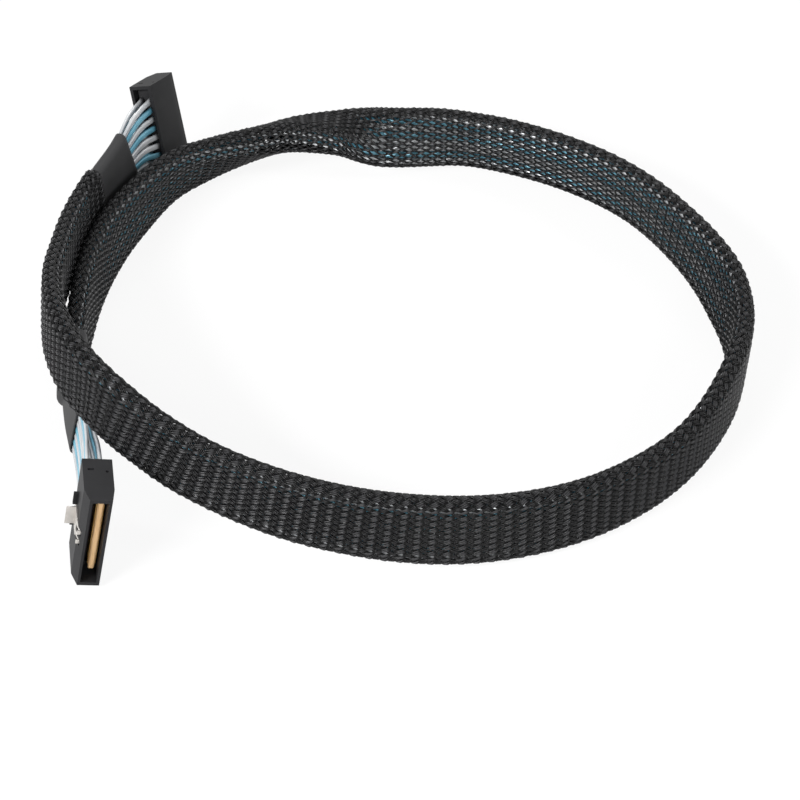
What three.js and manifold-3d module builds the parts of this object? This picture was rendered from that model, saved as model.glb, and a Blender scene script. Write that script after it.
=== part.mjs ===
// Flat braided computer cable with a slim edge-card plug at each end.
// The cable stands on edge as one and a quarter turns of a hoop. Millimetres, +Z up.
import * as THREE from "three";
import { mergeVertices } from "three/addons/utils/BufferGeometryUtils.js";
import Module from "manifold-3d";

const wasm = await Module();
wasm.setup();

// Route of the cable's centre line from plug A to plug B: x, y, z, and the lean of its wide side.
// A lean of 0 degrees stands the wide side upright, 90 lays it flat with its first edge outwards.
const ROUTE = [
  [-73, 78.5, 18.8, 17],
  [-76.2, 71.3, 20.8, 11],
  [-81, 59, 19.5, 4],
  [-87, 43.5, 18.8, 0],
  [-90.5, 28, 19.6, -2],
  [-91.8, 12, 21.7, -5],
  [-91.6, -4, 24.9, -6],
  [-88.3, -22, 28.6, -8],
  [-81.3, -39, 30.6, -10],
  [-72.5, -50.5, 30, -8],
  [-62, -58, 25.5, -4],
  [-48.5, -64, 19.5, -5],
  [-26, -71.5, 14.5, -7],
  [0, -75, 11, -8],
  [24, -74, 10, -4],
  [48, -66.5, 10, 0],
  [70, -50, 10, 1],
  [85, -26, 10, -2],
  [91, -5, 10, 4],
  [89.5, 15, 10, 14],
  [82, 36.5, 10, 6],
  [67, 60, 10, -3],
  [46, 76.5, 10, -5],
  [22, 86.5, 10, -5],
  [-2, 88, 10, 8],
  [-17.5, 88.5, 9.5, 76],
  [-31, 88, 9, 115],
  [-44, 84.5, 9, 138],
  [-56, 77, 9.5, 156],
  [-66.5, 67.5, 10, 171],
  [-75, 55, 10, 178],
  [-81.5, 39.5, 10, 184],
  [-85.5, 20, 10, 182],
  [-86.6, 0, 10, 178],
  [-86.8, -14, 9.5, 168],
  [-84.3, -28, 9.5, 165],
  [-81, -41, 9.8, 165],
  [-77.8, -55, 12, 167],
  [-75.8, -66, 15, 168],
  [-74.8, -72, 15, 168],
];
const STEP = 22; // longest step along the route
const STEP_AT_END = 7; // longest step where the wires spread out or a wrap meets the sleeve
const TURN = 24; // most degrees of lean in one step

// Gap left between pieces that touch
const GAP = 0.3;

// Wires: twinax pairs in two flat rows
const WIRES_PER_ROW = 8;
const WIRE_WIDTH = 1.75;
const WIRE_THICKNESS = 1.05;
const PLUG_WIRE_PITCH = 2.8;
const FAN_A = 15; // length over which the rows spread towards plug A
const FAN_B = 32; // and towards plug B

// Heat-shrink wraps and the braided sleeve, from the wires outwards
const WRAP_WALL = 0.4;
const WRAP_ROOM = 0.2; // room between the rows of wires and a wrap
const WRAP_ROOM_AT_EDGE = 0.6; // and at the wrap's round edges
const SLEEVE_WALL = 0.5;
const SLEEVE_A = 35; // where the sleeve ends, measured from plug A
const SLEEVE_B = 55; // and from plug B
const WRAP_A_END = 16; // visible end of wrap A, from plug A
const WRAP_B_END = 35; // visible end of wrap B, from plug B
const WRAP_OVERLAP = 8; // length that a wrap shares with the sleeve

// Plug: x is its thickness with the latch on the +x side, y points to its mouth, z is its long side
const PLUG_THICKNESS = 7.2;
const PLUG_DEPTH = 14.1;
const PLUG_LENGTH = 28.8;
const NOSE_START = 10.3; // where the sides begin to taper to the mouth
const NOSE_TAPER_LATCH_SIDE = 1.25;
const NOSE_TAPER_PLAIN_SIDE = 0.6;
const END_WALL = 1.0;
const LATCH_SIDE_WALL = 0.65;
const PLAIN_SIDE_WALL = 0.75;
const RECESS_DEPTH = 6; // rear recess that the wires enter
const RECESS_WALL = 1.0;
const BULKHEAD = 2; // wall between the recess and the mouth
const OVERMOULD_DEPTH = 3.5;

// Paddle card and its contacts
const CARD_THICKNESS = 1.5;
const CARD_WIDTH = 24;
const CARD_SETBACK = 3.4; // card edge behind the mouth
const CARD_OFFSET = -0.9; // card plane, away from the latch
const CARD_IN_OVERMOULD = 1;
const CONTACTS = 37;
const CONTACT_PITCH = 0.6;
const CONTACT_WIDTH = 0.36;
const CONTACT_THICKNESS = 0.15;
const CONTACT_LENGTH = 2.3;
const CONTACT_LIFT = 0.1;
const CONTACT_FROM_EDGE = 0.3; // fingertips behind the card's chamfer
const CONTACT_ROOT = 1.5; // strip that joins the fingers at their rear
const CARD_CHAMFER = 0.3;

// Latch: a steel spring with a press tab and two hooks
const LATCH_METAL = 0.3;
const LATCH_WIDTH = 5.6;
const LATCH_CENTRE = -0.6;
const LATCH_PIVOT = 2.4; // y of the foot that holds the spring
const LATCH_TAB = 4; // y of the press tab
const LATCH_TAB_HEIGHT = 2.5;
const LATCH_PLATE_END = 8;
const LATCH_POCKET = 0.6;
const HOOK_WIDTH = 1.2;
const HOOK_SPACING = 3;
const HOOK_END = 11.5;
const HOOK_DROP = 0.75;
const HOOK_RISE = 0.8;
const HOOK_SLOT_DEPTH = 1.5;
const GUARD_HEIGHT = 1.1; // rib behind the tab
const GUARD_LENGTH = 10.5;
const GUARD_THICKNESS = 0.9;
const GUARD_ROOT = 0.2; // how deep the rib starts in the housing's side

// Shallow slot and dimple in each end face of a plug
const END_MARK_DEPTH = 0.4;
const END_SLOT_LOW = 2.7; // slot's sides, from the latch side
const END_SLOT_HIGH = 1.2;
const END_SLOT_REAR = 3.2;
const END_SLOT_FRONT = 3.9;
const DIMPLE_RADIUS = 0.4;
const DIMPLE_FROM_SIDE = 1.4;
const DIMPLE_FROM_REAR = 4.2;

// Derived sizes
const wirePitch = WIRE_WIDTH + GAP;
const rowOffset = (WIRE_THICKNESS + GAP) / 2;
const bundleWidth = wirePitch * (WIRES_PER_ROW - 1) + WIRE_WIDTH;
const bundleThickness = 2 * rowOffset + WIRE_THICKNESS;
const wrapInner = {
  width: bundleWidth + 2 * WRAP_ROOM_AT_EDGE,
  thickness: bundleThickness + 2 * WRAP_ROOM,
};
const wrapOuter = grown(wrapInner, WRAP_WALL);
const sleeveInner = grown(wrapOuter, GAP);
const sleeveOuter = grown(sleeveInner, SLEEVE_WALL);
const collarInner = grown(sleeveOuter, GAP);
const collarOuter = grown(collarInner, WRAP_WALL);
const wireEntry = RECESS_DEPTH - GAP - OVERMOULD_DEPTH - GAP; // depth in the recess where the wires end
const plugRowOffset = CARD_THICKNESS / 2 + GAP + WIRE_THICKNESS / 2;
const half = PLUG_THICKNESS / 2;
const halfLength = PLUG_LENGTH / 2;
const mouthFloor = RECESS_DEPTH + BULKHEAD;
const cardFront = PLUG_DEPTH - CARD_SETBACK;

const finish = {
  braid: { color: 0x2b2b2d, roughness: 0.5, metalness: 0 },
  shrink: { color: 0x1d1d1f, roughness: 0.65, metalness: 0 },
  silver: { color: 0xb4bcc2, roughness: 0.35, metalness: 0.4 },
  blue: { color: 0x6fa6bd, roughness: 0.35, metalness: 0.3 },
  plastic: { color: 0x2a2b2e, roughness: 0.55, metalness: 0 },
  potting: { color: 0x1a1a1c, roughness: 0.7, metalness: 0 },
  board: { color: 0xd9a874, roughness: 0.6, metalness: 0 },
  gold: { color: 0xd8a95a, roughness: 0.3, metalness: 0.9 },
  steel: { color: 0xc8c4be, roughness: 0.35, metalness: 0.9 },
};

function grown(section, by) {
  return { width: section.width + 2 * by, thickness: section.thickness + 2 * by };
}

function mesh(name, geometry, look) {
  const made = new THREE.Mesh(geometry, new THREE.MeshStandardMaterial(finish[look]));
  made.name = name;
  return made;
}

// Solid joins and cuts
function solidOf(geometry) {
  const bare = geometry.index ? geometry.toNonIndexed() : geometry.clone();
  bare.deleteAttribute("normal");
  bare.deleteAttribute("uv");
  const merged = mergeVertices(bare, 1e-4);
  return new wasm.Manifold(
    new wasm.Mesh({
      numProp: 3,
      vertProperties: merged.attributes.position.array,
      triVerts: new Uint32Array(merged.index.array),
    }),
  );
}

function geometryOf(solid) {
  const data = solid.getMesh();
  const geometry = new THREE.BufferGeometry();
  geometry.setAttribute("position", new THREE.BufferAttribute(data.vertProperties, 3));
  geometry.setIndex(new THREE.BufferAttribute(data.triVerts, 1));
  return geometry;
}

// A box given by its lowest and highest corners
function block(low, high) {
  const size = high.map((value, axis) => value - low[axis]);
  const box = new THREE.BoxGeometry(...size);
  box.translate(...high.map((value, axis) => (value + low[axis]) / 2));
  return solidOf(box);
}

// A profile in x and y, drawn out along z between two heights
function prism(points, low, high) {
  const shape = new THREE.Shape(points.map(([x, y]) => new THREE.Vector2(x, y)));
  const body = new THREE.ExtrudeGeometry(shape, { depth: high - low, bevelEnabled: false });
  body.translate(0, 0, low);
  return solidOf(body);
}

// Stations along the route: place, direction, the wide side's direction and the thin side's
const line = new THREE.CatmullRomCurve3(ROUTE.map(([x, y, z]) => new THREE.Vector3(x, y, z)));
const spans = ROUTE.length - 1;
const UP = new THREE.Vector3(0, 0, 1);

function stationAt(position) {
  const span = Math.min(Math.floor(position), spans - 1);
  const share = position - span;
  const lean = THREE.MathUtils.lerp(ROUTE[span][3], ROUTE[span + 1][3], share);
  const along = line.getTangent(position / spans);
  const out = new THREE.Vector3().crossVectors(along, UP).normalize();
  const upright = new THREE.Vector3().crossVectors(out, along);
  const angle = THREE.MathUtils.degToRad(lean);
  const wide = upright.clone().multiplyScalar(Math.cos(angle)).addScaledVector(out, Math.sin(angle));
  const thin = new THREE.Vector3().crossVectors(along, wide);
  return { position, place: line.getPoint(position / spans), along, wide, thin, lean };
}

// Distance along the route at each hundredth of a span
const FINE = 100;
const fine = Array.from({ length: spans * FINE + 1 }, (_, i) => line.getPoint(i / (spans * FINE)));
const distance = fine.reduce((sum, point, i) => {
  sum.push(i === 0 ? 0 : sum[i - 1] + point.distanceTo(fine[i - 1]));
  return sum;
}, []);
const routeLength = distance[distance.length - 1];

function positionAt(length) {
  const i = Math.min(Math.max(distance.findIndex((value) => value >= length), 1), distance.length - 1);
  const share = (length - distance[i - 1]) / (distance[i] - distance[i - 1]);
  return (i - 1 + share) / FINE;
}

// Every piece along the cable uses the same stations, so pieces inside each other stay apart
const sleeveStart = SLEEVE_A;
const sleeveEnd = routeLength - SLEEVE_B;
const wrapBEnd = routeLength - WRAP_B_END;
const collarStart = sleeveEnd - WRAP_OVERLAP;
const collarEnd = sleeveEnd + GAP + WRAP_WALL;
const cuts = [
  0,
  FAN_A,
  WRAP_A_END,
  sleeveStart,
  sleeveStart + WRAP_OVERLAP,
  collarStart,
  sleeveEnd,
  sleeveEnd + GAP,
  collarEnd,
  wrapBEnd,
  routeLength,
];

function stationsBetween(from, to) {
  const atEnd = to <= FAN_A || from >= collarStart;
  const start = positionAt(from);
  const end = positionAt(to);
  const turned = Math.abs(leanTravel(start, end));
  const steps = Math.ceil(Math.max((to - from) / (atEnd ? STEP_AT_END : STEP), turned / TURN, 1));
  return Array.from({ length: steps }, (_, i) => stationAt(start + ((end - start) * i) / steps));
}

function leanTravel(start, end) {
  return stationAt(end).lean - stationAt(start).lean;
}

// Between the cuts the stations follow the route's own points, closer together where it twists
const CLEAR_OF_CUTS = 3;
const routePoints = distance.filter((_, i) => i % FINE === 0);
const kept = routePoints.filter(
  (value) =>
    twisting(value) && cuts.every((cut) => Math.abs(value - cut) > CLEAR_OF_CUTS),
);
const marks = [...cuts, ...kept].sort((a, b) => a - b);

function twisting(length) {
  const reach = STEP;
  const before = stationAt(positionAt(Math.max(length - reach, 0)));
  const after = stationAt(positionAt(Math.min(length + reach, routeLength)));
  return Math.abs(after.lean - before.lean) > TURN;
}

const stations = marks
  .slice(1)
  .flatMap((to, i) => stationsBetween(marks[i], to))
  .concat([stationAt(spans)]);
stations.forEach((station) => {
  station.length = lengthAt(station.position);
});

function lengthAt(position) {
  const i = Math.min(Math.floor(position * FINE), distance.length - 2);
  return distance[i] + (position * FINE - i) * (distance[i + 1] - distance[i]);
}

// A path through chosen stations, shifted across the cable by an amount that may change along it
class StationPath extends THREE.Curve {
  constructor(chosen, shift) {
    super();
    this.chosen = chosen;
    this.points = chosen.map((station) => {
      const [across, through] = shift(station.length);
      return station.place
        .clone()
        .addScaledVector(station.wide, across)
        .addScaledVector(station.thin, through);
    });
  }

  getSpacedPoints() {
    return this.points;
  }

  computeFrenetFrames() {
    return {
      tangents: this.chosen.map((station) => station.along),
      normals: this.chosen.map((station) => station.wide),
      binormals: this.chosen.map((station) => station.thin),
    };
  }
}

const centred = () => [0, 0];

function sweep(shape, from, to, shift = centred) {
  const margin = 1e-6;
  const chosen = stations.filter(({ length }) => length > from - margin && length < to + margin);
  const path = new StationPath(chosen, shift);
  return new THREE.ExtrudeGeometry(shape, { steps: chosen.length - 1, extrudePath: path });
}

// Flat oval: straight sides in three parts, and round ends in four
function ovalPoints({ width, thickness }) {
  const radius = thickness / 2;
  const straight = width - thickness;
  const points = [];
  for (const end of [1, -1]) {
    for (let i = 0; i <= 4; i += 1) {
      const angle = (Math.PI * i) / 4 - Math.PI / 2;
      const x = end * (straight / 2 + radius * Math.cos(angle));
      points.push(new THREE.Vector2(x, end * radius * Math.sin(angle)));
    }
    for (const share of [1 / 6, -1 / 6]) {
      points.push(new THREE.Vector2(end * share * straight, end * radius));
    }
  }
  return points;
}

function tubeShape(outer, inner) {
  const shape = new THREE.Shape(ovalPoints(outer));
  shape.holes.push(new THREE.Path(ovalPoints(inner).reverse()));
  return shape;
}

function sleeve() {
  const body = sweep(tubeShape(sleeveOuter, sleeveInner), sleeveStart, sleeveEnd);
  return mesh("braided_sleeve", body, "braid");
}

function wrapA() {
  const body = sweep(tubeShape(wrapOuter, wrapInner), WRAP_A_END, sleeveStart + WRAP_OVERLAP);
  return mesh("heat_shrink_a", body, "shrink");
}

// Wrap B grips the wires and widens to a collar over the sleeve's end
function wrapB() {
  const grip = solidOf(sweep(tubeShape(wrapOuter, wrapInner), sleeveEnd + GAP, wrapBEnd));
  const collar = solidOf(sweep(tubeShape(collarOuter, collarInner), collarStart, collarEnd));
  const step = solidOf(sweep(tubeShape(collarOuter, wrapInner), sleeveEnd + GAP, collarEnd));
  return mesh("heat_shrink_b", geometryOf(grip.add(step).add(collar)), "shrink");
}

// Twinax wires: flat six-sided sections that spread out towards each plug
function wireShape() {
  const side = WIRE_WIDTH / 2;
  const flat = side - WIRE_THICKNESS * 0.3;
  const rise = WIRE_THICKNESS / 2;
  const corners = [[side, 0], [flat, rise], [-flat, rise], [-side, 0], [-flat, -rise], [flat, -rise]];
  return new THREE.Shape(corners.map(([x, y]) => new THREE.Vector2(x, y)));
}

function wires() {
  const shape = wireShape();
  const made = [];
  for (const [row, side] of [["upper", 1], ["lower", -1]]) {
    for (let i = 0; i < WIRES_PER_ROW; i += 1) {
      const index = i - (WIRES_PER_ROW - 1) / 2;
      const shift = (length) => {
        const nearA = 1 - THREE.MathUtils.smoothstep(length, 0, FAN_A);
        const nearB = 1 - THREE.MathUtils.smoothstep(routeLength - length, 0, FAN_B);
        const spread = nearA + nearB;
        const across = index * THREE.MathUtils.lerp(wirePitch, PLUG_WIRE_PITCH, spread);
        return [across, side * THREE.MathUtils.lerp(rowOffset, plugRowOffset, spread)];
      };
      const look = i === 2 || i === 6 ? "blue" : "silver";
      made.push(mesh(`twinax_${row}_${i + 1}`, sweep(shape, 0, routeLength, shift), look));
    }
  }
  return made;
}

// Moulded housing: a tapered body with a mouth in front, a recess behind and pockets for the latch
function housing(name) {
  const outline = [
    [-half, 0],
    [half, 0],
    [half, NOSE_START],
    [half - NOSE_TAPER_LATCH_SIDE, PLUG_DEPTH],
    [-half + NOSE_TAPER_PLAIN_SIDE, PLUG_DEPTH],
    [-half, NOSE_START],
  ];
  const inside = halfLength - END_WALL;
  const mouthLow = -half + NOSE_TAPER_PLAIN_SIDE + PLAIN_SIDE_WALL;
  const mouthHigh = half - NOSE_TAPER_LATCH_SIDE - LATCH_SIDE_WALL;
  const recess = half - RECESS_WALL;
  const beyond = 1;
  const cardHalf = CARD_THICKNESS / 2 + CONTACT_LIFT + CONTACT_THICKNESS + GAP;
  const cardEdge = CARD_WIDTH / 2 + GAP;
  const pocketHalf = LATCH_WIDTH / 2 + GAP;
  const guardLow = LATCH_TAB - LATCH_METAL / 2 - GAP - GUARD_THICKNESS;
  const guardHigh = guardLow + GUARD_THICKNESS;
  let body = prism(outline, -halfLength, halfLength);
  body = body.subtract(block([mouthLow, mouthFloor, -inside], [mouthHigh, PLUG_DEPTH + beyond, inside]));
  body = body.subtract(block([-recess, -beyond, -inside], [recess, RECESS_DEPTH, inside]));
  body = body.subtract(
    block(
      [CARD_OFFSET - cardHalf, RECESS_DEPTH - beyond, -cardEdge],
      [CARD_OFFSET + cardHalf, mouthFloor + beyond, cardEdge],
    ),
  );
  body = body.subtract(
    block(
      [half - LATCH_POCKET, LATCH_PIVOT - LATCH_METAL / 2 - GAP, LATCH_CENTRE - pocketHalf],
      [half + beyond, LATCH_PLATE_END + GAP, LATCH_CENTRE + pocketHalf],
    ),
  );
  for (const hook of hookCentres()) {
    const reach = HOOK_WIDTH / 2 + GAP;
    body = body.subtract(
      block(
        [half - HOOK_SLOT_DEPTH, LATCH_PLATE_END - GAP, hook - reach],
        [half + beyond, HOOK_END + 2 * GAP, hook + reach],
      ),
    );
  }
  const guardReach = LATCH_WIDTH / 2 + GUARD_HEIGHT;
  const guardTop = LATCH_CENTRE - guardReach + GUARD_LENGTH;
  for (const [low, high] of [[-guardReach, -pocketHalf], [pocketHalf, guardTop - LATCH_CENTRE]]) {
    body = body.add(
      block(
        [half - GUARD_ROOT, guardLow, LATCH_CENTRE + low],
        [half + GUARD_HEIGHT, guardHigh, LATCH_CENTRE + high],
      ),
    );
  }
  for (const end of [-1, 1]) {
    const face = end * halfLength;
    const inner = face - end * END_MARK_DEPTH;
    const outer = face + end * beyond;
    const low = Math.min(inner, outer);
    const high = Math.max(inner, outer);
    body = body.subtract(
      block([half - END_SLOT_LOW, END_SLOT_REAR, low], [half - END_SLOT_HIGH, END_SLOT_FRONT, high]),
    );
    const dimple = new THREE.CylinderGeometry(DIMPLE_RADIUS, DIMPLE_RADIUS, high - low, 8);
    dimple.rotateX(Math.PI / 2);
    dimple.translate(-half + DIMPLE_FROM_SIDE, DIMPLE_FROM_REAR, (low + high) / 2);
    body = body.subtract(solidOf(dimple));
  }
  return mesh(name, geometryOf(body), "plastic");
}

function hookCentres() {
  return [LATCH_CENTRE - HOOK_SPACING / 2, LATCH_CENTRE + HOOK_SPACING / 2];
}

// Block moulded round the wires' ends, slotted in front for the paddle card
function overmould(name) {
  const side = half - RECESS_WALL - GAP;
  const front = RECESS_DEPTH - GAP;
  const end = halfLength - END_WALL - GAP;
  const slot = CARD_THICKNESS / 2 + GAP;
  const slotEnd = CARD_WIDTH / 2 + GAP;
  const body = block([-side, front - OVERMOULD_DEPTH, -end], [side, front, end]).subtract(
    block(
      [CARD_OFFSET - slot, front - CARD_IN_OVERMOULD - GAP, -slotEnd],
      [CARD_OFFSET + slot, front + 1, slotEnd],
    ),
  );
  return mesh(name, geometryOf(body), "potting");
}

function paddleCard(name) {
  const rear = RECESS_DEPTH - GAP - CARD_IN_OVERMOULD;
  const side = CARD_THICKNESS / 2;
  const outline = [
    [CARD_OFFSET - side, rear],
    [CARD_OFFSET + side, rear],
    [CARD_OFFSET + side, cardFront - CARD_CHAMFER],
    [CARD_OFFSET + side - CARD_CHAMFER, cardFront],
    [CARD_OFFSET - side + CARD_CHAMFER, cardFront],
    [CARD_OFFSET - side, cardFront - CARD_CHAMFER],
  ];
  return mesh(name, geometryOf(prism(outline, -CARD_WIDTH / 2, CARD_WIDTH / 2)), "board");
}

// One side's contacts: fingers along the card's edge, joined at their rear
function contacts(name, side) {
  const fingerFront = cardFront - CARD_CHAMFER - CONTACT_FROM_EDGE;
  const fingerRear = fingerFront - CONTACT_LENGTH;
  const rootRear = fingerRear - CONTACT_ROOT;
  const edge = ((CONTACTS - 1) * CONTACT_PITCH + CONTACT_WIDTH) / 2;
  const points = [new THREE.Vector2(-edge, rootRear)];
  for (let i = 0; i < CONTACTS; i += 1) {
    const low = -edge + i * CONTACT_PITCH;
    if (i > 0) points.push(new THREE.Vector2(low, fingerRear));
    points.push(new THREE.Vector2(low, fingerFront));
    points.push(new THREE.Vector2(low + CONTACT_WIDTH, fingerFront));
    if (i < CONTACTS - 1) points.push(new THREE.Vector2(low + CONTACT_WIDTH, fingerRear));
  }
  points.push(new THREE.Vector2(edge, rootRear));
  const shape = new THREE.Shape(points.reverse());
  const comb = new THREE.ExtrudeGeometry(shape, { depth: CONTACT_THICKNESS, bevelEnabled: false });
  comb.rotateY(-Math.PI / 2);
  const surface = CARD_THICKNESS / 2 + CONTACT_LIFT;
  const place = side > 0 ? surface + CONTACT_THICKNESS : -surface;
  comb.translate(CARD_OFFSET + place, 0, 0);
  return mesh(name, comb, "gold");
}

// Sheet-steel latch: foot, plate, press tab and two hooks that dip into the housing's slots
function latch(name) {
  const top = half - LATCH_POCKET + 0.55 + LATCH_METAL;
  const low = top - LATCH_METAL;
  const edge = LATCH_WIDTH / 2;
  const rear = LATCH_PIVOT - LATCH_METAL / 2;
  const tabRear = LATCH_TAB - LATCH_METAL / 2;
  const plate = block(
    [low, rear, LATCH_CENTRE - edge],
    [top, LATCH_PLATE_END, LATCH_CENTRE + edge],
  );
  const foot = block(
    [half - LATCH_POCKET + GAP / 2, rear, LATCH_CENTRE - edge],
    [top, rear + LATCH_METAL, LATCH_CENTRE + edge],
  );
  const tab = block(
    [low, tabRear, LATCH_CENTRE - edge],
    [half + LATCH_TAB_HEIGHT, tabRear + LATCH_METAL, LATCH_CENTRE + edge],
  );
  let body = plate.add(foot).add(tab);
  const bend = LATCH_PLATE_END - 0.2;
  const tip = HOOK_END - LATCH_METAL;
  const hookSide = [
    [low, bend],
    [top, bend],
    [top - HOOK_DROP, tip],
    [top - HOOK_DROP + HOOK_RISE, tip],
    [top - HOOK_DROP + HOOK_RISE, HOOK_END],
    [low - HOOK_DROP, HOOK_END],
    [low - HOOK_DROP, tip],
  ];
  for (const hook of hookCentres()) {
    body = body.add(prism(hookSide, hook - HOOK_WIDTH / 2, hook + HOOK_WIDTH / 2));
  }
  return mesh(name, geometryOf(body), "steel");
}

// A plug, set on the end of the route with its mouth pointing away from the cable
function plug(letter, station, mouth, wide) {
  const group = new THREE.Group();
  group.add(
    housing(`plug_${letter}_housing`),
    overmould(`plug_${letter}_overmould`),
    paddleCard(`plug_${letter}_paddle_card`),
    contacts(`plug_${letter}_contacts_latch_side`, 1),
    contacts(`plug_${letter}_contacts_plain_side`, -1),
    latch(`plug_${letter}_latch`),
  );
  const across = new THREE.Vector3().crossVectors(mouth, wide);
  group.quaternion.setFromRotationMatrix(new THREE.Matrix4().makeBasis(across, mouth, wide));
  group.position.copy(station.place).addScaledVector(mouth, -wireEntry);
  return group;
}

const first = stations[0];
const last = stations[stations.length - 1];
const root = new THREE.Group();
root.add(sleeve(), wrapA(), wrapB(), ...wires());
root.add(plug("a", first, first.along.clone().negate(), first.wide.clone().negate()));
root.add(plug("b", last, last.along.clone(), last.wide.clone().negate()));

// The origin is on the floor under the middle of the outline
const box = new THREE.Box3().setFromObject(root, true);
const middle = box.getCenter(new THREE.Vector3());
root.position.set(-middle.x, -middle.y, -box.min.z);

export default root;
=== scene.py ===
"""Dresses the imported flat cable: braided sleeve, twinax wires, heat-shrink wraps and two latched plugs."""
import math

import bmesh
import bpy
import numpy as np
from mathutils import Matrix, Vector

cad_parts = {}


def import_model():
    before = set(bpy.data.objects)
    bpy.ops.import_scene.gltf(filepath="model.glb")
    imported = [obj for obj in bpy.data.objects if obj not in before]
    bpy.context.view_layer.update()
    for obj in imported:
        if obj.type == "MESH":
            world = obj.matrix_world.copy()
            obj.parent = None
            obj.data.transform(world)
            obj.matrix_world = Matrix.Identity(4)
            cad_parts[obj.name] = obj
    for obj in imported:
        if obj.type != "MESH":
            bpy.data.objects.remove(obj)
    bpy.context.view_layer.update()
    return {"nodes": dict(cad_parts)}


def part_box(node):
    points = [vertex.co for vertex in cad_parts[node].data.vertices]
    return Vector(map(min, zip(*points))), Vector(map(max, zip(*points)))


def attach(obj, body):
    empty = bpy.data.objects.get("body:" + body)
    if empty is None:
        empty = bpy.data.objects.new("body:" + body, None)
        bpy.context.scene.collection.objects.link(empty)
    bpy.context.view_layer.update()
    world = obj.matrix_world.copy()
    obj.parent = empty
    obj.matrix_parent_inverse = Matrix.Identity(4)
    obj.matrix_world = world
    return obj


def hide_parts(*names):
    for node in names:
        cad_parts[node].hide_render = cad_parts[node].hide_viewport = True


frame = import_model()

NODES = frame["nodes"]
MM = 0.001
CABLE = "cable"

# The cable's route, in metres, with the lean of its wide side in degrees. The points are those of part.mjs,
# apart from seven at the turn-over, which lie up to 3 mm beside them, closer to the photograph.
ROUTE = [
    (-0.073, 0.0785, 0.0188, 17),
    (-0.0762, 0.0713, 0.0208, 11),
    (-0.081, 0.059, 0.0195, 4),
    (-0.087, 0.0435, 0.0188, 0),
    (-0.0905, 0.028, 0.0196, -2),
    (-0.0918, 0.012, 0.0217, -5),
    (-0.0916, -0.004, 0.0249, -6),
    (-0.0883, -0.022, 0.0286, -8),
    (-0.0813, -0.039, 0.0306, -10),
    (-0.0725, -0.0505, 0.03, -8),
    (-0.062, -0.058, 0.0255, -4),
    (-0.0485, -0.064, 0.0195, -5),
    (-0.026, -0.0715, 0.0145, -7),
    (0, -0.075, 0.011, -8),
    (0.024, -0.074, 0.01, -4),
    (0.048, -0.0665, 0.01, 0),
    (0.07, -0.05, 0.01, 1),
    (0.085, -0.026, 0.01, -2),
    (0.091, -0.005, 0.01, 4),
    (0.0895, 0.015, 0.01, 14),
    (0.082, 0.0365, 0.01, 6),
    (0.067, 0.06, 0.01, -3),
    (0.046, 0.0765, 0.01, -5),
    (0.0196, 0.087, 0.01, -5),
    (-0.0048, 0.0878, 0.01, 34),
    (-0.0165, 0.0905, 0.0097, 92),
    (-0.0325, 0.0898, 0.0095, 120),
    (-0.0425, 0.0857, 0.0095, 132),
    (-0.0568, 0.0769, 0.0098, 152),
    (-0.0668, 0.0686, 0.01, 166),
    (-0.075, 0.055, 0.01, 178),
    (-0.0815, 0.0395, 0.01, 184),
    (-0.0855, 0.02, 0.01, 182),
    (-0.0866, 0, 0.01, 178),
    (-0.0868, -0.014, 0.0095, 168),
    (-0.0843, -0.028, 0.0095, 165),
    (-0.081, -0.041, 0.0098, 165),
    (-0.0778, -0.055, 0.012, 167),
    (-0.0758, -0.066, 0.015, 168),
    (-0.0748, -0.072, 0.015, 168),
]

# Sections along the cable, as in part.mjs. A and B in a name say which plug a distance is taken from.
WIRES_PER_ROW = 8
WIRE_WIDTH = 1.75 * MM
WIRE_THICKNESS = 1.05 * MM
WIRE_PITCH = 2.05 * MM
ROW_OFFSET = 0.675 * MM
PLUG_WIRE_PITCH = 2.8 * MM
PLUG_ROW_OFFSET = 1.575 * MM
FAN_A = 15 * MM
FAN_B = 32 * MM
WRAP_A_END = 16 * MM
WRAP_B_END = 35 * MM
WRAP_OVERLAP = 8 * MM
WRAP_WIDTH = 18.1 * MM
WRAP_THICKNESS = 3.6 * MM
WRAP_WALL = 0.4 * MM
SLEEVE_A = 35 * MM
SLEEVE_B = 55 * MM
SLEEVE_WIDTH = 19.7 * MM
SLEEVE_THICKNESS = 5.2 * MM
OVERMOULD_DEPTH = 3.5 * MM
GAP = 0.3 * MM

# Wires: which are blue in each row, counted from 0, how much further apart the rows lie inside the sleeve,
# the shape of a section, and the distance between sections
BLUE_WIRES = {"upper": (1, 4, 6), "lower": (1, 4, 6)}
ROW_SPREAD = 0.55 * MM
WIRE_SIDES = 16
WIRE_FULLNESS = 0.8
WIRE_GROOVE = 0.16
WIRE_GROOVE_WIDTH = 0.25 * MM
WIRE_STEP = 3 * MM

# Wraps: points round each oval, ovals along each wrap, and wrap B's collar over the end of the braid
WRAP_SIDES = 48
WRAP_A_RINGS = 28
WRAP_B_RINGS = 40
COLLAR_EXTRA = 1.4 * MM
SHOULDER = 3 * MM

# Plugs: rounding of each kind of piece, and the limits used to find its flat faces and sharp edges
HOUSING_ROUNDING = 0.12 * MM
LATCH_ROUNDING = 0.05 * MM
CARD_ROUNDING = 0.02 * MM
MERGE_DISTANCE = 0.002 * MM
FLAT_ANGLE = math.radians(1)
SHARP_ANGLE = math.radians(15)

# Where the cable turns over, its sleeve is bunched: distance from plug A, half length, added thickness, and
# the width lost for each part of that thickness
TURN_OVER = 517 * MM
TURN_OVER_REACH = 44 * MM
TURN_OVER_BUNCH = 4.6 * MM
BUNCH_NARROWING = 0.5

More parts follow.
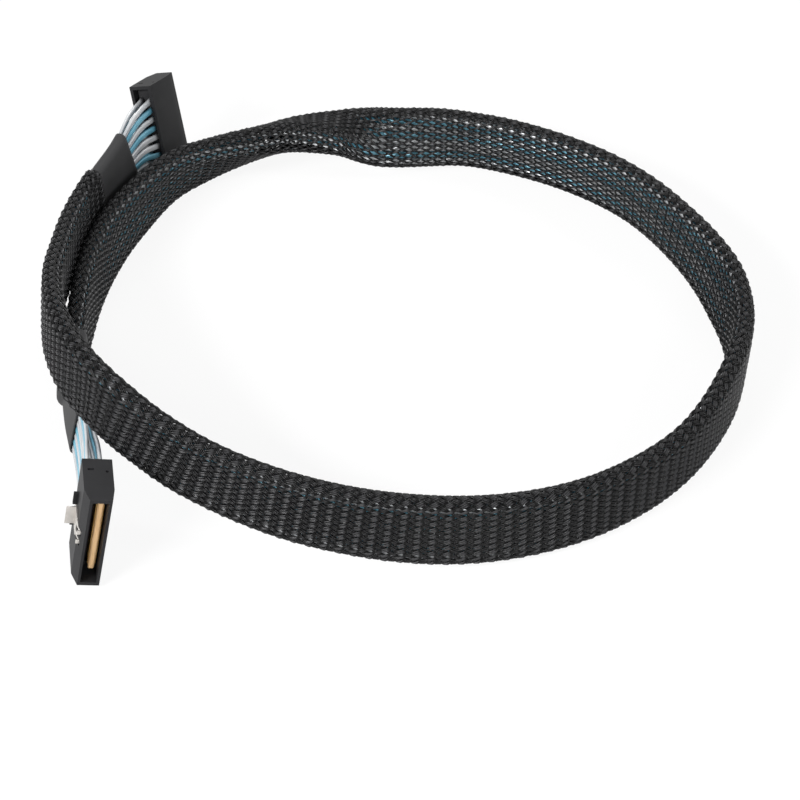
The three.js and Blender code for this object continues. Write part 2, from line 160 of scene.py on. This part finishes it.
# Braid: strands in each direction, the length of one over-and-under wave, and its height where the weave is
# closed and where it is open. The oval through the strands' middles is narrower and thinner than the sleeve.
STRANDS = 24
WAVE = 3.6 * MM
WAVE_HEIGHT = 0.27 * MM
WAVE_HEIGHT_OPEN = 0.16 * MM
BRAID_NARROWER = 0.4 * MM
BRAID_THINNER = 0.5 * MM
SAMPLES_PER_CROSSING = 2
BRAID_PIECES = 6

# Filaments of each strand: their distance apart where the weave is closed and where it is open, how far the
# middle one stands above the outer ones, and the share of that which lies above the strand's own middle
FILAMENTS = 3
FILAMENT_RADIUS = 0.23 * MM
PITCH_CLOSED = 0.42 * MM
PITCH_OPEN = 0.12 * MM
FILAMENT_CROWN = 0.13 * MM
CROWN_MIDDLE = 0.4

# The weave opens on the faces turned to the hoop's middle, between these two values of how far they face it,
# and in a row along each fold
FACING_CLOSED = 0.15
FACING_OPEN = 0.75
FOLD_OPENNESS = 0.95
FOLD_INSET = 0.3 * MM
FOLD_REACH = 0.8 * MM

# Slow waves that keep the braid from looking too even: in the sleeve's width, with the thickness lost for each
# part of it, in a strand's share of its way round, and in the distance between filaments and their height.
# Each has a height, a length, and a phase or the change of phase from one strand or filament to the next.
SIZE_RIPPLES = ((0.18 * MM, 17 * MM, 0), (0.12 * MM, 7.3 * MM, 1))
SIZE_THINNING = 0.3
WANDER = 0.00077
WANDER_LENGTH = 9.7 * MM
WANDER_PHASE = 1.3
PITCH_RIPPLE = 0.07
PITCH_RIPPLE_LENGTH = 13 * MM
PITCH_RIPPLE_PHASE = 2.3
LIFT_RIPPLE = 0.02 * MM
LIFT_RIPPLE_LENGTH = 4.1 * MM
LIFT_STRAND_PHASE = 2.1
LIFT_FILAMENT_PHASE = 2.4

# UV layer that carries painted light: a painted highlight where a strand lies over the others, painted shade
# where it dips under, and a factor of painted shade on the other direction's strands, which the main light
# leaves dark
PAINTED_LIGHT_MAP = "strand"
PAINTED_SHADE_OTHER_DIRECTION = 0.75

# The photograph's view: from the front and above, with lens and sensor in Blender's millimetres
CAMERA_ELEVATION = math.radians(41)
CAMERA_REACH = 554.8 * MM
CAMERA_AIM_HEIGHT = 9.2 * MM
CAMERA_LENS = 92.43
CAMERA_SENSOR = 36
CAMERA_SHIFT = -0.0875
CAMERA_CLIP = 10 * MM

# Stage: half the floor's side, its drop below the cable, its own glow where it is seen directly, the world's
# light on the object, and each soft light's name, place, size and power
FLOOR_HALF = 6.0
FLOOR_DROP = 0.05 * MM
FLOOR_GLOW = 0.88
WORLD_LIGHT = 0.36
LIGHTS = (
    ("key", (-0.62, -0.6, 0.66), (0.45, 0.2), 14),
    ("front", (0.3, -0.9, 0.45), (0.2, 0.2), 4),
    ("side", (0.85, -0.05, 0.6), (0.2, 0.2), 3),
    ("back", (0.15, 0.85, 0.75), (0.5, 0.25), 2.5),
)


def smoothstep(value, low, high):
    """0 up to low, 1 from high on, and an even rise between."""
    share = np.clip((value - low) / (high - low), 0, 1)
    return share * share * (3 - 2 * share)


def catmull_rom(points, per_span):
    """Centripetal Catmull-Rom through the points, the same curve that the CAD model follows."""
    points = np.asarray(points, float)
    before = 2 * points[0] - points[1]
    after = 2 * points[-1] - points[-2]
    padded = np.vstack([before, points, after])
    pieces = []
    for i in range(len(points) - 1):
        p0, p1, p2, p3 = padded[i:i + 4]
        d0, d1, d2 = (np.linalg.norm(b - a) ** 0.5 for a, b in ((p0, p1), (p1, p2), (p2, p3)))
        m1 = ((p1 - p0) / d0 - (p2 - p0) / (d0 + d1) + (p2 - p1) / d1) * d1
        m2 = ((p2 - p1) / d1 - (p3 - p1) / (d1 + d2) + (p3 - p2) / d2) * d1
        last = i == len(points) - 2
        t = np.linspace(0, 1, per_span + int(last), endpoint=last)[:, None]
        cubic = 2 * p1 - 2 * p2 + m1 + m2
        square = -3 * p1 + 3 * p2 - 2 * m1 - m2
        pieces.append(p1 + m1 * t + square * t**2 + cubic * t**3)
    return np.concatenate(pieces)


def unit(vectors):
    return vectors / np.linalg.norm(vectors, axis=-1, keepdims=True)


def ripple(distance, height, length, phase):
    """A wave along the cable, 2 pi times the length from crest to crest."""
    return height * np.sin(distance / length + phase)


class Line:
    """The cable's centre line by distance, with its wide and thin directions."""

    PER_SPAN = 60
    LEAN_REACH = 5 * MM
    LEAN_SAMPLES = 11
    NUDGE = 0.2 * MM

    def __init__(self):
        route = np.array(ROUTE, float)
        places = catmull_rom(route[:, :3], self.PER_SPAN)
        knots = np.arange(len(ROUTE)) * self.PER_SPAN
        steps = np.arange(len(places))
        lean = np.interp(steps, knots, route[:, 3])
        self.distance = np.concatenate(
            [[0], np.cumsum(np.linalg.norm(np.diff(places, axis=0), axis=1))]
        )
        self.length = self.distance[-1]
        self.places = places
        self.lean = self.smoothed(lean)
        self.shift = self.frame_shift()
        self.places = self.places + self.shift
        self.middle = np.array([self.shift[0], self.shift[1], 0.0])

    def smoothed(self, lean):
        """The lean without its kinks at the route's points."""
        offsets = np.linspace(-self.LEAN_REACH, self.LEAN_REACH, self.LEAN_SAMPLES)
        return np.mean(
            [np.interp(self.distance + offset, self.distance, lean) for offset in offsets], axis=0
        )

    def frame_shift(self):
        """From the route's numbers to the model's frame, read off the block at plug B's wires."""
        low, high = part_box("plug_b_overmould")
        middle = (np.array(low) + np.array(high)) / 2
        end, along, _, _ = self.at(self.length)
        return middle - (end + along * (GAP + OVERMOULD_DEPTH / 2))

    def at(self, distance):
        """Place, direction along, wide direction and thin direction at one or more distances."""
        distance = np.asarray(distance, float)
        low = np.clip(distance - self.NUDGE, 0, self.length)
        high = np.clip(distance + self.NUDGE, 0, self.length)
        place = self.sample(self.places, distance)
        along = unit(self.sample(self.places, high) - self.sample(self.places, low))
        out = unit(np.cross(along, (0, 0, 1)))
        upright = np.cross(out, along)
        angle = np.radians(np.interp(distance, self.distance, self.lean))[..., None]
        wide = np.cos(angle) * upright + np.sin(angle) * out
        thin = np.cross(along, wide)
        return place, along, wide, thin

    def sample(self, values, distance):
        return np.stack([np.interp(distance, self.distance, values[:, i]) for i in range(3)], -1)


line = Line()


def camera():
    aim = Vector((0, 0, CAMERA_AIM_HEIGHT)) + Vector(line.shift)
    away = Vector((0, -math.cos(CAMERA_ELEVATION), math.sin(CAMERA_ELEVATION)))
    data = bpy.data.cameras.new("camera")
    data.sensor_width = CAMERA_SENSOR
    data.lens = CAMERA_LENS
    data.shift_y = CAMERA_SHIFT
    data.clip_start = CAMERA_CLIP
    made = bpy.data.objects.new("camera", data)
    made.location = aim + CAMERA_REACH * away
    made.rotation_euler = (math.pi / 2 - CAMERA_ELEVATION, 0, 0)
    bpy.context.scene.collection.objects.link(made)
    bpy.context.scene.camera = made


camera()


def new_material(name):
    material = bpy.data.materials.new(name)
    material.use_nodes = True
    nodes = material.node_tree.nodes
    links = material.node_tree.links
    shader = nodes["Principled BSDF"]
    return material, nodes, links, shader


def set_inputs(shader, **values):
    for key, value in values.items():
        shader.inputs[key.replace("_", " ")].default_value = value


def noise(nodes, links, scale, detail):
    texture = nodes.new("ShaderNodeTexNoise")
    texture.inputs["Scale"].default_value = scale
    texture.inputs["Detail"].default_value = detail
    place = nodes.new("ShaderNodeTexCoord")
    links.new(place.outputs["Object"], texture.inputs["Vector"])
    return texture.outputs["Fac"]


def ramp(nodes, links, source, stops):
    made = nodes.new("ShaderNodeValToRGB")
    elements = made.color_ramp.elements
    while len(elements) < len(stops):
        elements.new(0.5)
    for element, (position, colour) in zip(elements, stops):
        element.position = position
        element.color = (*colour, 1)
    links.new(source, made.inputs["Fac"])
    return made.outputs["Color"]


def bump(nodes, links, height, strength, distance):
    made = nodes.new("ShaderNodeBump")
    made.inputs["Strength"].default_value = strength
    made.inputs["Distance"].default_value = distance
    links.new(height, made.inputs["Height"])
    return made.outputs["Normal"]


def braid_material():
    """Black monofilament with painted light: a painted highlight where a strand passes over the others,
    painted shade where it passes under.
    """
    material, nodes, links, shader = new_material("braid")
    set_inputs(shader, Roughness=0.25, Specular_IOR_Level=0.14)
    place = nodes.new("ShaderNodeUVMap")
    place.uv_map = PAINTED_LIGHT_MAP
    split = nodes.new("ShaderNodeSeparateXYZ")
    links.new(place.outputs["UV"], split.inputs["Vector"])
    # The ramp paints light into the base colour: the dark end is the filament's black deepened by painted
    # shade, the light end is a painted highlight
    dark, middle, light = (0.0015, 0.0015, 0.0016), (0.005, 0.005, 0.0053), (0.043, 0.043, 0.045)
    links.new(
        ramp(nodes, links, split.outputs["X"], [(0, dark), (0.55, middle), (1, light)]),
        shader.inputs["Base Color"],
    )
    return material


def surface(name, dark, light, edge, shade_scale, grain, **inputs):
    """A material between two close colours, with a fine grain given as scale, strength and depth.

    The colours meet between edge and 1 - edge of the noise that mixes them.
    """
    material, nodes, links, shader = new_material(name)
    set_inputs(shader, **inputs)
    shade = noise(nodes, links, shade_scale, 3)
    links.new(ramp(nodes, links, shade, [(edge, dark), (1 - edge, light)]), shader.inputs["Base Color"])
    grain_scale, strength, depth = grain
    height = noise(nodes, links, grain_scale, 2)
    links.new(bump(nodes, links, height, strength, depth), shader.inputs["Normal"])
    return material


def shrink(name, dark, light):
    return surface(
        name, dark, light, 0.3, 90, (2400, 0.25, 0.02 * MM), Roughness=0.62, Specular_IOR_Level=0.3
    )


def jacket(name, dark, light, metallic):
    return surface(name, dark, light, 0.3, 160, (900, 0.3, 0.03 * MM), Roughness=0.32, Metallic=metallic)


def plastic(name, dark, light, roughness):
    return surface(
        name, dark, light, 0.35, 120, (5200, 0.2, 0.015 * MM), Roughness=roughness, Specular_IOR_Level=0.12
    )


def metal(name, dark, light, roughness, metallic):
    return surface(
        name, dark, light, 0.35, 300, (3000, 0.15, 0.01 * MM), Roughness=roughness, Metallic=metallic
    )


MATERIALS = {
    "braid": braid_material(),
    "shrink": shrink("heat_shrink", (0.019, 0.019, 0.02), (0.026, 0.026, 0.027)),
    "wire_silver": jacket("wire_silver", (0.4, 0.42, 0.44), (0.55, 0.56, 0.57), 0.3),
    "wire_blue": jacket("wire_blue", (0.08, 0.26, 0.36), (0.18, 0.42, 0.53), 0.2),
    "housing": plastic("housing", (0.011, 0.011, 0.012), (0.015, 0.015, 0.0162), 0.5),
    "overmould": plastic("overmould", (0.012, 0.012, 0.013), (0.02, 0.02, 0.021), 0.6),
    "board": plastic("board", (0.78, 0.5, 0.25), (0.86, 0.58, 0.31), 0.5),
    "gold": metal("gold", (0.7, 0.42, 0.13), (0.8, 0.52, 0.2), 0.35, 0.9),
    "steel": metal("steel", (0.5, 0.48, 0.45), (0.62, 0.59, 0.56), 0.38, 0.8),
}


def add_piece(name, points, quads, slot, ends=(), over=None):
    """A smooth mesh that rides the cable; ends lists closing faces with any number of corners."""
    mesh = bpy.data.meshes.new(name)
    counts = np.concatenate([np.full(len(quads), 4), [len(end) for end in ends]]).astype(np.int32)
    corners = np.concatenate([np.asarray(quads).ravel(), *ends]).astype(np.int32)
    mesh.vertices.add(len(points))
    mesh.vertices.foreach_set("co", np.asarray(points, np.float32).ravel())
    mesh.loops.add(len(corners))
    mesh.loops.foreach_set("vertex_index", corners)
    mesh.polygons.add(len(counts))
    mesh.polygons.foreach_set("loop_start", (np.cumsum(counts) - counts).astype(np.int32))
    mesh.polygons.foreach_set("use_smooth", np.ones(len(counts), bool))
    mesh.update(calc_edges=True)
    # over is the braid's painted light and painted shade, stored as a UV layer that drives its base colour
    if over is not None:
        layer = mesh.uv_layers.new(name=PAINTED_LIGHT_MAP)
        uv = np.stack([over, np.zeros(len(over))], 1)
        layer.data.foreach_set("uv", uv.astype(np.float32)[corners].ravel())
    mesh.materials.append(MATERIALS[slot])
    piece = bpy.data.objects.new(name, mesh)
    bpy.context.scene.collection.objects.link(piece)
    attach(piece, CABLE)
    return piece


def tube_quads(rings, around, first=0):
    """Quads of a tube whose points run ring by ring."""
    ring = np.arange(rings - 1)[:, None] * around
    here = np.arange(around)[None, :]
    there = (here + 1) % around
    return np.stack(
        [ring + here, ring + there, ring + around + there, ring + around + here], -1
    ).reshape(-1, 4) + first


def oval(share, width, thickness):
    """Point and outward direction on a flat oval, by share of its way round from a broad face's middle."""
    radius = thickness / 2
    side = (width - thickness) / 2
    arc = math.pi * radius
    whole = 4 * side + 2 * arc
    way = np.mod(share, 1) * whole
    far = way > whole / 2
    way = np.where(far, way - whole / 2, way)
    sign = np.where(far, -1.0, 1.0)
    angle = np.clip((way - side) / radius, 0, math.pi)
    before = np.minimum(way, side)
    after = np.maximum(way - side - arc, 0)
    across = before + radius * np.sin(angle) - after
    through = radius * np.cos(angle)
    return sign * across, sign * through, sign * np.sin(angle), sign * np.cos(angle)


def section_size(distance):
    """Sleeve width and thickness: bunched where the cable turns over, slightly uneven elsewhere."""
    bunch = TURN_OVER_BUNCH * np.exp(-(((distance - TURN_OVER) / TURN_OVER_REACH) ** 2))
    uneven = sum(ripple(distance, *wave) for wave in SIZE_RIPPLES)
    width = SLEEVE_WIDTH - BRAID_NARROWER - BUNCH_NARROWING * bunch + uneven
    thickness = SLEEVE_THICKNESS - BRAID_THINNER + bunch - SIZE_THINNING * uneven
    return width, thickness


def openness(across, through, width, thickness, out, place):
    """How far a strand's filaments draw together: open towards the hoop's middle and in rows at the folds."""
    inward = unit(line.middle - place * (1, 1, 0))
    facing = np.sum(out * inward, axis=-1)
    inner = smoothstep(facing, FACING_CLOSED, FACING_OPEN)
    fold = (width - thickness) / 2 - FOLD_INSET
    rows = FOLD_OPENNESS * np.exp(-(((np.abs(across) - fold) / FOLD_REACH) ** 2))
    return np.clip(inner + rows, 0, 1)


def strand(direction, index, distances):
    """Rings of each filament in one strand, as an array of filament, ring, corner and coordinate."""
    turn = distances / (WAVE * STRANDS)
    wander = ripple(distances, WANDER, WANDER_LENGTH, WANDER_PHASE * index)
    share = index / STRANDS + direction * (turn + wander)
    width, thickness = section_size(distances)
    across, through, out_across, out_through = oval(share, width, thickness)
    place, _, wide, thin = line.at(distances)
    out = out_across[:, None] * wide + out_through[:, None] * thin
    opened = openness(across, through, width, thickness, out, place)
    height = WAVE_HEIGHT + (WAVE_HEIGHT_OPEN - WAVE_HEIGHT) * opened
    wave = height * direction * np.cos(2 * math.pi * distances / WAVE)
    centre = place + across[:, None] * wide + through[:, None] * thin + wave[:, None] * out
    along = unit(np.gradient(centre, axis=0))
    side = unit(np.cross(out, along))
    up = np.cross(along, side)
    uneven = 1 + ripple(distances, PITCH_RIPPLE, PITCH_RIPPLE_LENGTH, PITCH_RIPPLE_PHASE * index)
    pitch = (PITCH_CLOSED + (PITCH_OPEN - PITCH_CLOSED) * opened) * uneven
    made = []
    for number in range(FILAMENTS):
        offset = number - (FILAMENTS - 1) / 2
        phase = LIFT_STRAND_PHASE * index + LIFT_FILAMENT_PHASE * number
        lift = ripple(distances, LIFT_RIPPLE, LIFT_RIPPLE_LENGTH, phase)
        lift = lift + FILAMENT_CROWN * (CROWN_MIDDLE - abs(offset)) * (1 - opened)
        middle = centre + (offset * pitch)[:, None] * side + lift[:, None] * up
        corners = ((1, 0), (0, 1), (-1, 0), (0, -1))
        rings = [middle + FILAMENT_RADIUS * (x * side + y * up) for x, y in corners]
        made.append(np.stack(rings, 1))
    return np.stack(made)


def end_faces(rings, around, first=0):
    """The corners that close a tube's first and last rings."""
    ring = np.arange(around) + first
    return [ring[::-1], ring + (rings - 1) * around]


def braid():
    start = SLEEVE_A
    end = line.length - SLEEVE_B
    crossings = int((end - start) / (WAVE / 2))
    samples = crossings * SAMPLES_PER_CROSSING + 1
    distances = np.linspace(start, end, samples)
    strands = [(direction, i) for i in range(STRANDS) for direction in (1, -1)]
    group = len(strands) // BRAID_PIECES
    pieces = []
    for number in range(BRAID_PIECES):
        points, quads, ends, painted_light_values, first = [], [], [], [], 0
        for direction, index in strands[number * group:(number + 1) * group]:
            # Painted light on each strand: painted highlight over the crossings, painted shade under them,
            # more painted shade on the -1 direction
            over = 0.5 + 0.5 * direction * np.cos(2 * math.pi * distances / WAVE)
            over = over * (1 if direction > 0 else PAINTED_SHADE_OTHER_DIRECTION)
            for rings in strand(direction, index, distances):
                count, around = rings.shape[:2]
                points.append(rings.reshape(-1, 3))
                painted_light_values.append(np.repeat(over, around))
                quads.append(tube_quads(count, around, first))
                ends += end_faces(count, around, first)
                first += count * around
        points, quads, painted_light_values = map(np.concatenate, (points, quads, painted_light_values))
        pieces.append(add_piece(f"braid_{number + 1}", points, quads, "braid", ends, painted_light_values))
    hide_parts("braided_sleeve")
    return pieces


def wire_section():
    """A twinax wire's section, as across and through: two conductors side by side under one jacket."""
    points = []
    for step in range(WIRE_SIDES):
        angle = 2 * math.pi * step / WIRE_SIDES
        x = 0.5 * WIRE_WIDTH * np.sign(math.cos(angle)) * abs(math.cos(angle)) ** WIRE_FULLNESS
        groove = WIRE_GROOVE * math.exp(-((x / WIRE_GROOVE_WIDTH) ** 2))
        points.append((x, 0.5 * WIRE_THICKNESS * math.sin(angle) * (1 - groove)))
    return np.array(points)


def wires():
    step = WIRE_STEP
    distances = np.linspace(0, line.length, int(line.length / step))
    place, _, wide, thin = line.at(distances)
    wide, thin = wide[:, None], thin[:, None]
    section = wire_section()
    spread = np.clip(1 - distances / FAN_A, 0, 1)
    spread = spread + 1 - smoothstep(line.length - distances, 0, FAN_B)
    pitch = WIRE_PITCH + (PLUG_WIRE_PITCH - WIRE_PITCH) * spread
    sleeve_end = line.length - SLEEVE_B - WRAP_OVERLAP
    loose = smoothstep(distances, SLEEVE_A + WRAP_OVERLAP, SLEEVE_A + 3 * WRAP_OVERLAP)
    loose = loose * (1 - smoothstep(distances, sleeve_end - 2 * WRAP_OVERLAP, sleeve_end))
    offset = ROW_OFFSET + ROW_SPREAD * loose
    offset = offset + (PLUG_ROW_OFFSET - offset) * spread
    quads = tube_quads(len(distances), len(section))
    ends = end_faces(len(distances), len(section))
    for row, side in (("upper", 1), ("lower", -1)):
        for i in range(WIRES_PER_ROW):
            across = ((i - (WIRES_PER_ROW - 1) / 2) * pitch)[:, None] + section[:, 0]
            through = (side * offset)[:, None] + section[:, 1]
            points = place[:, None] + across[..., None] * wide + through[..., None] * thin
            slot = "wire_blue" if i in BLUE_WIRES[row] else "wire_silver"
            wire = add_piece(f"wire_{row}_{i + 1}", points.reshape(-1, 3), quads, slot, ends)
            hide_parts(f"twinax_{row}_{i + 1}")


def wrap(name, distances, widths, thicknesses):
    """A hollow wrap whose ovals run out along its outside and back along its inside."""
    inside = 2 * WRAP_WALL
    shares = np.arange(WRAP_SIDES) / WRAP_SIDES
    sizes = list(zip(distances, widths, thicknesses))
    rings = sizes + [(d, width - inside, thickness - inside) for d, width, thickness in sizes[::-1]]
    points = []
    for distance, width, thickness in rings:
        across, through, _, _ = oval(shares, width, thickness)
        place, _, wide, thin = line.at(distance)
        points.append(place + across[:, None] * wide + through[:, None] * thin)
    last = (len(rings) - 1) * WRAP_SIDES
    here = np.arange(WRAP_SIDES)
    there = (here + 1) % WRAP_SIDES
    closing = np.stack([last + here, last + there, there, here], -1)
    quads = np.concatenate([tube_quads(len(rings), WRAP_SIDES), closing])
    return add_piece(name, np.concatenate(points), quads, "shrink")


def wraps():
    distances = np.linspace(WRAP_A_END, SLEEVE_A + WRAP_OVERLAP, WRAP_A_RINGS)
    wrap_a = wrap(
        "wrap_a", distances, [WRAP_WIDTH] * WRAP_A_RINGS, [WRAP_THICKNESS] * WRAP_A_RINGS
    )
    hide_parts("heat_shrink_a")
    sleeve_end = line.length - SLEEVE_B
    distances = np.linspace(sleeve_end - WRAP_OVERLAP, line.length - WRAP_B_END, WRAP_B_RINGS)
    shoulder = smoothstep(distances, sleeve_end, sleeve_end + SHOULDER)
    widths = (SLEEVE_WIDTH + COLLAR_EXTRA) * (1 - shoulder) + WRAP_WIDTH * shoulder
    thicknesses = (SLEEVE_THICKNESS + COLLAR_EXTRA) * (1 - shoulder) + WRAP_THICKNESS * shoulder
    wrap_b = wrap("wrap_b", distances, widths, thicknesses)
    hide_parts("heat_shrink_b")
    return wrap_a, wrap_b


def rounded_copy(node, name, slot, body, rounding):
    """A CAD node's shape with its flat faces whole and its edges rounded."""
    mesh = NODES[node].data.copy()
    mesh.name = name
    mesh.materials.clear()
    mesh.materials.append(MATERIALS[slot])
    shape = bmesh.new()
    shape.from_mesh(mesh)
    bmesh.ops.remove_doubles(shape, verts=shape.verts, dist=MERGE_DISTANCE)
    bmesh.ops.dissolve_limit(shape, angle_limit=FLAT_ANGLE, verts=shape.verts, edges=shape.edges)
    sharp = [edge for edge in shape.edges if edge.calc_face_angle(0) > SHARP_ANGLE]
    bmesh.ops.bevel(
        shape, geom=sharp, offset=rounding, segments=2, profile=0.5, affect="EDGES", clamp_overlap=True
    )
    for face in shape.faces:
        face.smooth = True
    shape.to_mesh(mesh)
    shape.free()
    piece = bpy.data.objects.new(name, mesh)
    bpy.context.scene.collection.objects.link(piece)
    modifier = piece.modifiers.new("normals", "WEIGHTED_NORMAL")
    modifier.keep_sharp = True
    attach(piece, body)
    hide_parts(node)
    return piece


def plug(letter):
    """Housing, latch, card and contacts as rounded copies; the moulding keeps its CAD shape."""
    moulding = NODES[f"plug_{letter}_overmould"].data
    moulding.materials.clear()
    moulding.materials.append(MATERIALS["overmould"])
    return [
        rounded_copy(f"plug_{letter}_{part}", f"{part}_{letter}", slot, body, rounding)
        for part, slot, body, rounding in (
            ("housing", "housing", CABLE, HOUSING_ROUNDING),
            ("latch", "steel", f"latch_{letter}", LATCH_ROUNDING),
            ("paddle_card", "board", CABLE, CARD_ROUNDING),
            ("contacts_latch_side", "gold", CABLE, CARD_ROUNDING),
            ("contacts_plain_side", "gold", CABLE, CARD_ROUNDING),
        )
    ]


def seen_directly(nodes, links):
    """1 for the camera's rays and for those that mirrors and clear things send on, or else 0."""
    path = nodes.new("ShaderNodeLightPath")
    total = path.outputs["Is Camera Ray"]
    for other in ("Is Glossy Ray", "Is Transmission Ray"):
        either = nodes.new("ShaderNodeMath")
        either.operation = "MAXIMUM"
        links.new(total, either.inputs[0])
        links.new(path.outputs[other], either.inputs[1])
        total = either.outputs[0]
    return total


def stage():
    """A white floor that keeps the object's soft shadow."""
    material, nodes, links, shader = new_material("floor")
    set_inputs(shader, Roughness=0.9, Specular_IOR_Level=0.1)
    shader.inputs["Base Color"].default_value = (0.9, 0.9, 0.9, 1)
    seen = seen_directly(nodes, links)
    white = nodes.new("ShaderNodeEmission")
    part = nodes.new("ShaderNodeMath")
    part.operation = "MULTIPLY"
    part.inputs[1].default_value = FLOOR_GLOW
    links.new(seen, part.inputs[0])
    mix = nodes.new("ShaderNodeMixShader")
    links.new(part.outputs[0], mix.inputs[0])
    links.new(shader.outputs[0], mix.inputs[1])
    links.new(white.outputs[0], mix.inputs[2])
    links.new(mix.outputs[0], nodes["Material Output"].inputs["Surface"])
    sides = ((-1, -1), (1, -1), (1, 1), (-1, 1))
    corners = [(x * FLOOR_HALF, y * FLOOR_HALF, -FLOOR_DROP) for x, y in sides]
    mesh = bpy.data.meshes.new("floor")
    mesh.from_pydata(corners, [], [(0, 1, 2, 3)])
    mesh.materials.append(material)
    floor = bpy.data.objects.new("floor", mesh)
    bpy.context.scene.collection.objects.link(floor)


def world():
    """White where it is seen, and dimmer where it lights the object."""
    made = bpy.data.worlds.new("world")
    made.use_nodes = True
    background = made.node_tree.nodes["Background"]
    background.inputs["Color"].default_value = (1, 1, 1, 1)
    level = made.node_tree.nodes.new("ShaderNodeMapRange")
    level.inputs["To Min"].default_value = WORLD_LIGHT
    seen = seen_directly(made.node_tree.nodes, made.node_tree.links)
    made.node_tree.links.new(seen, level.inputs["Value"])
    made.node_tree.links.new(level.outputs[0], background.inputs["Strength"])
    bpy.context.scene.world = made


def lights():
    for name, place, size, power in LIGHTS:
        data = bpy.data.lights.new(name, "AREA")
        data.shape = "RECTANGLE"
        data.size, data.size_y = size
        data.energy = power
        made = bpy.data.objects.new(name, data)
        made.location = place
        made.rotation_euler = (-Vector(place)).to_track_quat("-Z", "Y").to_euler()
        bpy.context.scene.collection.objects.link(made)


braid_pieces = braid()
wires()
wrap_pieces = wraps()
plug("a")
housing_b, latch_b = plug("b")[:2]
stage()
world()
lights()
bpy.context.scene.view_settings.view_transform = "Standard"
